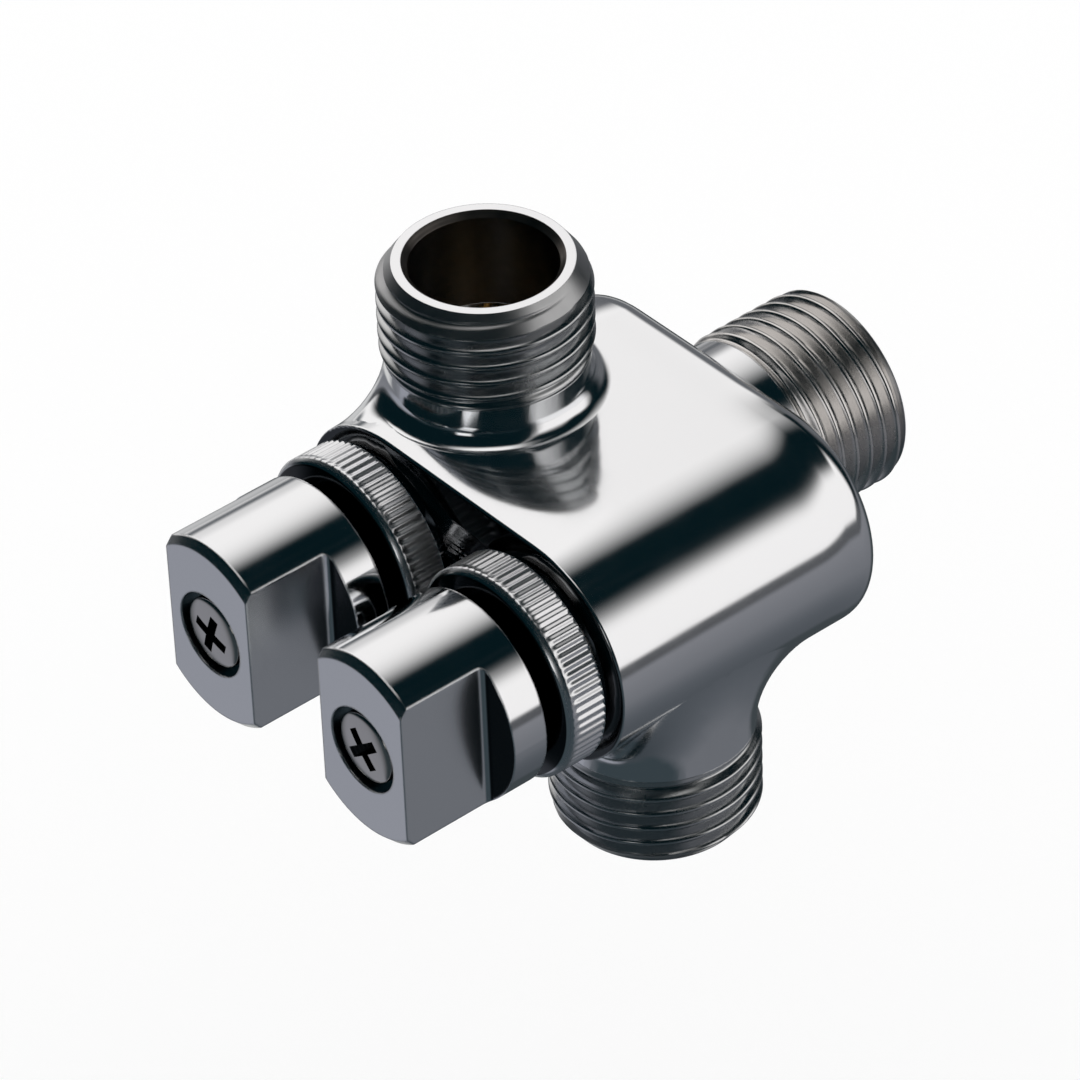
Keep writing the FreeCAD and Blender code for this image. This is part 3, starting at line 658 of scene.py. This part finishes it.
def in_hollow(spot):
    """Whether a point lies on the wall of a bore or a chamber."""
    side = -1 if spot.z > 0 else 1
    bore_reach = BORE_RADIUS + SLACK
    off_outlet = math.hypot(spot.x - side * OUTLET_X, spot.y - OUTLET_Y)
    off_inlet = math.hypot(spot.x, spot.z)
    off_valve = math.hypot(abs(spot.x) - HALF_SPACING, spot.z)
    in_outlet = off_outlet < bore_reach and abs(spot.z) > PORT_FLOOR
    in_inlet = off_inlet < bore_reach and spot.y > INLET_FLOOR
    in_chamber = (off_valve < CHAMBER_RADIUS + SLACK
                  and BLOCK_FRONT + SLACK < spot.y < CHAMBER_REAR)
    return in_outlet or in_inlet or in_chamber


def port_tip(name, tree, keys):
    """The threaded end of one port with its rim and bore."""
    place, foot, top, rim_radius, lead, finish = PORTS[name]
    wall = wall_from(tree, keys, {
        "Around": PORT_AROUND, "Rows": PORT_ROWS, "Foot": foot - CASTING_CUT,
        "Height": top - foot + CASTING_CUT, "Neck radius": NECK_RADIUS,
        "Crest radius": THREAD_CREST, "Thread depth": THREAD_DEPTH,
        "Pitch": THREAD_PITCH, "Run-out": THREAD_RUN_OUT, "Lead height": lead,
        "Rim radius": rim_radius, "Material": finish})
    outline = [(rim_radius, top), (BORE_RADIUS + BORE_EDGE, top),
               (BORE_RADIUS, top - BORE_EDGE), (BORE_RADIUS, foot - CASTING_CUT),
               (NECK_RADIUS, foot - CASTING_CUT)]
    finishes = [finish, BODY_CHROME, RAW_BORE, LEAD_CHROME]
    mesh = wall_and_rest(name, wall, outline, PORT_AROUND, finishes, 1, place)
    back = place.inverted()
    for face in mesh.polygons:
        spot = back @ face.center
        if math.hypot(spot.x, spot.y) < BORE_RADIUS + 0.6 * BORE_EDGE:
            face.material_index = 2
        elif face.material_index == 0 and spot.z > top - lead:
            face.material_index = 3
    return new_piece(name, mesh, "fixed")


def bonnet_nut(word, tree, keys):
    """The knurled nut that holds a cartridge in the block."""
    forward = Matrix.Rotation(math.pi / 2.0, 4, "X")
    place = Matrix.Translation((SIDES[word] * HALF_SPACING, 0.0, 0.0)) @ forward
    around = KNURL_TEETH * STEPS_PER_TOOTH
    wall = wall_from(tree, keys, {
        "Around": around, "Rows": NUT_ROWS, "Foot": -KNURL_REAR, "Height": KNURL_REAR - KNURL_FRONT,
        "Teeth": KNURL_TEETH, "Crest radius": KNURL_RADIUS, "Tooth depth": KNURL_DEPTH,
        "Edge": KNURL_EDGE, "Material": NUT_CHROME})
    slope = FACE_RISE / (KNURL_RADIUS - KNURL_EDGE - BOSS_RADIUS)
    outline = [(KNURL_RADIUS - KNURL_EDGE, -KNURL_FRONT),
               (KNURL_RADIUS - KNURL_EDGE - NUT_LIP, NUT_LIP * slope - KNURL_FRONT),
               (BOSS_RADIUS, FACE_RISE - KNURL_FRONT),
               (BOSS_RADIUS, -BOSS_FRONT - NUT_LIP), (BOSS_RADIUS - NUT_LIP, -BOSS_FRONT),
               (NUT_BORE, -BOSS_FRONT), (NUT_BORE, -SPIGOT_REAR),
               (SPIGOT_RADIUS, -SPIGOT_REAR), (SPIGOT_RADIUS, -BLOCK_FRONT),
               (COLLAR_RADIUS, -BLOCK_FRONT), (COLLAR_RADIUS, -KNURL_REAR),
               (KNURL_RADIUS, -KNURL_REAR)]
    mesh = wall_and_rest(word + "_nut", wall, outline, around, [NUT_CHROME], 0, place)
    piece = new_piece(word + "_nut", mesh, "fixed")
    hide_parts(word + "_bonnet_nut")
    return piece


def screw_head(word):
    """A pan-head screw with a cross recess, on a plain shank."""
    around = 64
    rise = HEAD_SEAT - HEAD_CROWN
    rim = HEAD_SEAT - HEAD_RIM
    outline = [(0.0, rise)]
    for step in range(1, DOME_STEPS + 1):
        lean = step / DOME_STEPS * math.pi / 2.0
        outline.append((HEAD_RADIUS * math.sin(lean) ** DOME_BULGE,
                        rim + (rise - rim) * math.cos(lean)))
    outline += [(HEAD_RADIUS, 0.0), (SHANK_RADIUS, 0.0),
                (SHANK_RADIUS, HEAD_SEAT - SHANK_TIP), (0.0, HEAD_SEAT - SHANK_TIP)]
    shape = bmesh.new()
    lathe(shape, outline, around)
    bmesh.ops.recalc_face_normals(shape, faces=shape.faces)
    head = bpy.data.meshes.new(word + "_screw")
    shape.to_mesh(head)
    shape.free()
    head.materials.append(SCREW_CHROME)
    holder = bpy.data.objects.new("holder", head)
    bpy.context.scene.collection.objects.link(holder)
    cutter = bpy.data.objects.new("cross cutter", cross_cutter(rise))
    bpy.context.scene.collection.objects.link(cutter)
    modifier = holder.modifiers.new("cross", "BOOLEAN")
    modifier.operation = "DIFFERENCE"
    modifier.object = cutter
    modifier.solver = "EXACT"
    graph = bpy.context.evaluated_depsgraph_get()
    mesh = bpy.data.meshes.new_from_object(holder.evaluated_get(graph))
    bpy.data.objects.remove(holder)
    bpy.data.objects.remove(cutter)
    # The faces sunk into the head by the cross are given painted shade.
    mesh.materials.append(PAINTED_RECESS_SHADE)
    for face in mesh.polygons:
        spot = face.center
        share = min(1.0, math.hypot(spot.x, spot.y) / HEAD_RADIUS) ** (1.0 / DOME_BULGE)
        surface = rim + (rise - rim) * math.sqrt(1.0 - share * share)
        if 0.1 * MM < spot.z < surface - 0.06 * MM:
            face.material_index = 1
    turned = Matrix.Rotation(math.radians(SCREW_TURN[word]), 4, "Y")
    stood = Matrix.Translation((SIDES[word] * HALF_SPACING, HEAD_SEAT, 0.0))
    mesh.transform(stood @ turned @ Matrix.Rotation(math.pi / 2.0, 4, "X"))
    mesh.shade_smooth()
    mesh.set_sharp_from_angle(angle=math.radians(35.0))
    piece = new_piece(word + "_screw", mesh, word + "_control")
    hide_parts(word + "_handle_screw")
    return piece


def cross_cutter(rise):
    """A cross that narrows as it goes down, to sink the recess of a screw head."""
    arm, half = CROSS_ARM, CROSS_HALF
    corners = [(-half, -arm), (half, -arm), (half, -half), (arm, -half), (arm, half),
               (half, half), (half, arm), (-half, arm), (-half, half), (-arm, half),
               (-arm, -half), (-half, -half)]
    # Height, share of the arm's length and share of its width, at the floor and on top.
    levels = [(rise - CROSS_DEPTH, 0.45, 0.78), (rise + 0.5 * MM, 1.12, 1.048)]
    shape = bmesh.new()
    rings = []
    for height, long, wide in levels:
        rings.append([shape.verts.new((x * (long if abs(x) > half else wide),
                                       y * (long if abs(y) > half else wide),
                                       height)) for x, y in corners])
    shape.faces.new(rings[0][::-1])
    shape.faces.new(rings[1])
    for i in range(len(corners)):
        after = (i + 1) % len(corners)
        shape.faces.new([rings[0][i], rings[0][after], rings[1][after], rings[1][i]])
    bmesh.ops.recalc_face_normals(shape, faces=shape.faces)
    mesh = bpy.data.meshes.new("cross cutter")
    shape.to_mesh(mesh)
    shape.free()
    return mesh


INNER_FINISHES = {
    "handle": HANDLE_CHROME,
    "cartridge_housing": TURNED_BRASS,
    "spindle": TURNED_BRASS,
    "rear_spindle_ring": SEAL_RUBBER,
    "front_spindle_ring": SEAL_RUBBER,
    "housing_ring": SEAL_RUBBER,
    "seat_seal": SEAL_RUBBER,
    "retaining_clip": CLIP_STEEL,
    "thrust_washer": WASHER_PLASTIC,
    "moving_disc": DISC_CERAMIC,
    "fixed_disc": DISC_CERAMIC,
}


def dress_cad_nodes():
    """Gives the nodes that stay as they are their finishes."""
    for word in SIDES:
        for name, finish in INNER_FINISHES.items():
            for slot in NODES[word + "_" + name].material_slots:
                slot.material = finish


body_piece = new_piece("casting", casting(), "fixed")
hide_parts("valve_body")
thread, thread_keys = thread_tree()
for port in PORTS:
    port_tip(port, thread, thread_keys)
knurl, knurl_keys = knurl_tree()
for word in SIDES:
    bonnet_nut(word, knurl, knurl_keys)
    screw_head(word)
dress_cad_nodes()


# Studio: a white floor under a white sky, and a cloth tent with painted panels
# that only mirror rays see.

def toward(azimuth, elevation):
    """A direction, where azimuth 0 is -Y and 90 is +X."""
    a = math.radians(azimuth)
    e = math.radians(elevation)
    return Vector((math.sin(a) * math.cos(e), -math.cos(a) * math.cos(e), math.sin(e)))


# Panels of the tent, painted one over the other: azimuth of the middle, half
# width and softness of its sides, then lowest and highest elevation and softness
# of its top and bottom, all in degrees; tone.
BLACK_CLOTH = (0.002, 0.009, 0.012, 1.0)
PANELS = {
    "dark room behind the camera": (8.0, 89.0, 8.0, -12.0, 74.0, 7.0, BLACK_CLOTH),
    "dark table below the camera": (27.0, 49.0, 9.0, -80.0, -5.0, 7.0, (0.04, 0.055, 0.064, 1.0)),
    "table front left": (-48.0, 17.0, 7.0, -75.0, -14.0, 8.0, (0.3, 0.31, 0.35, 1.0)),
    "pale card low on the left": (-104.0, 20.0, 6.0, -60.0, -34.0, 5.0, (0.75, 0.75, 0.74, 1.0)),
    "wall below left": (-122.0, 26.0, 5.0, -28.0, -4.0, 5.0, (0.6, 0.6, 0.6, 1.0)),
    "dark shelf on the left": (-122.0, 26.0, 5.0, 0.0, 9.0, 4.0, (0.12, 0.13, 0.14, 1.0)),
    "small window in front": (24.0, 6.5, 1.5, 0.0, 13.0, 1.5, (0.95, 0.95, 0.95, 1.0)),
    "dark wall behind": (186.0, 24.0, 8.0, -14.0, 40.0, 6.0, BLACK_CLOTH),
    "dark ground behind left": (214.0, 30.0, 8.0, -70.0, -20.0, 7.0, (0.05, 0.06, 0.066, 1.0)),
    "grey wall behind left": (214.0, 28.0, 8.0, -14.0, 20.0, 8.0, (0.13, 0.135, 0.145, 1.0)),
    "dark screen above the wall": (158.0, 22.0, 8.0, 30.0, 66.0, 6.0, BLACK_CLOTH),
    "soft shade on the back wall": (166.0, 40.0, 33.0, 33.0, 80.0, 9.0, BLACK_CLOTH),
    "shade over the right window": (121.0, 24.0, 8.0, 40.5, 74.0, 11.0, BLACK_CLOTH),
}
# Tones of the cloth from straight below, at 0, to straight above, at 1.
TENT_RAMP = [
    (0.0, (0.05, 0.06, 0.07, 1.0)),
    (0.1, (0.1, 0.11, 0.125, 1.0)),
    (0.19, (0.165, 0.172, 0.19, 1.0)),
    (0.36, (0.215, 0.22, 0.24, 1.0)),
    (0.39, (0.09, 0.093, 0.1, 1.0)),
    (0.445, (0.1, 0.103, 0.11, 1.0)),
    (0.475, (0.95, 0.93, 0.92, 1.0)),
    (1.0, (0.97, 0.95, 0.935, 1.0)),
]
TENT_RADIUS = 1.5
FLOOR_DROP = 90.0 * MM
FLOOR_HALF = 6.0


def panel_mask(tree, direction, azimuth, half_width, side_blur, lowest, highest, blur):
    """1 on a panel of the tent, 0 beside it, with soft rims."""
    level = add_node(tree, "ShaderNodeVectorMath", {0: direction, 1: (1.0, 1.0, 0.0)},
                     operation="MULTIPLY").outputs["Vector"]
    heading = add_node(tree, "ShaderNodeVectorMath", {0: level},
                       operation="NORMALIZE").outputs["Vector"]
    facing = add_node(tree, "ShaderNodeVectorMath", {0: heading, 1: toward(azimuth, 0.0)},
                      operation="DOT_PRODUCT").outputs["Value"]
    height = add_node(tree, "ShaderNodeSeparateXYZ", {"Vector": direction}).outputs["Z"]
    rise = maths(tree, "DEGREES", maths(tree, "ARCSINE", height))
    turn = maths(tree, "DEGREES", maths(tree, "ARCCOSINE", facing))
    wide = eased(tree, turn, half_width - side_blur, half_width + side_blur, 1.0, 0.0)
    above = eased(tree, rise, lowest - blur, lowest + blur)
    below = eased(tree, rise, highest - blur, highest + blur, 1.0, 0.0)
    return maths(tree, "MULTIPLY", wide, maths(tree, "MULTIPLY", above, below))


def tent_cloth():
    """White cloth that turns grey below the horizon, with the panels on it."""
    material = bpy.data.materials.new("tent cloth")
    material.use_nodes = True
    tree = material.node_tree
    tree.nodes.remove(tree.nodes["Principled BSDF"])
    direction = add_node(tree, "ShaderNodeVectorMath", {0: object_place(tree)},
                         operation="NORMALIZE").outputs["Vector"]
    height = add_node(tree, "ShaderNodeSeparateXYZ", {"Vector": direction}).outputs["Z"]
    ramp = add_node(tree, "ShaderNodeValToRGB",
                    {"Fac": maths(tree, "MULTIPLY_ADD", height, 0.5, 0.5)})
    stops = ramp.color_ramp.elements
    stops.remove(stops[1])
    stops[0].position, stops[0].color = TENT_RAMP[0]
    for position, colour in TENT_RAMP[1:]:
        stops.new(position).color = colour
    seen = ramp.outputs["Color"]
    for *extent, tone in PANELS.values():
        seen = blend(tree, panel_mask(tree, direction, *extent), seen, tone)
    light = add_node(tree, "ShaderNodeEmission", {"Color": seen, "Strength": 1.0})
    tree.links.new(light.outputs[0], tree.nodes["Material Output"].inputs["Surface"])
    material.cycles.emission_sampling = "NONE"
    return material


def tent():
    """The tent round the object, which only mirror rays see."""
    shape = bmesh.new()
    bmesh.ops.create_uvsphere(shape, u_segments=48, v_segments=24, radius=TENT_RADIUS)
    mesh = bpy.data.meshes.new("tent")
    shape.to_mesh(mesh)
    shape.free()
    mesh.materials.append(tent_cloth())
    made = bpy.data.objects.new("tent", mesh)
    bpy.context.scene.collection.objects.link(made)
    made.visible_camera = False
    made.visible_diffuse = False
    made.visible_transmission = False
    made.visible_volume_scatter = False
    made.visible_shadow = False
    return made


def floor():
    """A plain white floor below the valve."""
    level = cad_low.z - FLOOR_DROP
    corners = [(x * FLOOR_HALF, y * FLOOR_HALF, level)
               for x, y in ((-1, -1), (1, -1), (1, 1), (-1, 1))]
    mesh = bpy.data.meshes.new("floor")
    mesh.from_pydata(corners, [], [(0, 1, 2, 3)])
    material, tree, shader = new_finish("floor paint")
    specks = add_node(tree, "ShaderNodeTexNoise", {"Vector": object_place(tree), "Scale": 900.0})
    tree.links.new(varied(tree, specks, 0.85, 0.95), shader.inputs["Roughness"])
    shader.inputs["Base Color"].default_value = (1.0, 1.0, 1.0, 1.0)
    shader.inputs["Specular IOR Level"].default_value = 0.0
    mesh.materials.append(material)
    made = bpy.data.objects.new("floor", mesh)
    bpy.context.scene.collection.objects.link(made)
    made.visible_glossy = False
    return made


def sky():
    """Even white light from everywhere."""
    world = bpy.data.worlds.new("white sky")
    world.use_nodes = True
    light = world.node_tree.nodes["Background"].inputs
    light["Color"].default_value = (1.0, 1.0, 1.0, 1.0)
    light["Strength"].default_value = 1.0
    bpy.context.scene.world = world


CAMERA_AZIMUTH = 50.993
CAMERA_ELEVATION = 38.632
CAMERA_ROLL = 2.319
CAMERA_DISTANCE = 600.0 * MM
CAMERA_AIM = Vector((16.783, -52.179, 18.407)) * MM
LENS_PIXELS = 6540.0
PHOTO_WIDTH = 1080.0
SENSOR = 36.0


def camera():
    """The photograph's point of view."""
    back = toward(CAMERA_AZIMUTH, CAMERA_ELEVATION)
    right = toward(CAMERA_AZIMUTH + 90.0, 0.0)
    up = back.cross(right)
    roll = math.radians(CAMERA_ROLL)
    across = right * math.cos(roll) - up * math.sin(roll)
    upward = right * math.sin(roll) + up * math.cos(roll)
    data = bpy.data.cameras.new("camera")
    data.sensor_width = SENSOR
    data.lens = LENS_PIXELS / PHOTO_WIDTH * SENSOR
    data.clip_start = 0.05
    data.clip_end = 20.0
    made = bpy.data.objects.new("camera", data)
    bpy.context.scene.collection.objects.link(made)
    turn = Matrix((across, upward, back)).transposed().to_4x4()
    made.matrix_world = Matrix.Translation(CAMERA_AIM + back * CAMERA_DISTANCE) @ turn
    bpy.context.scene.camera = made


tent()
floor()
sky()
camera()
bpy.context.scene.view_settings.view_transform = "Standard"
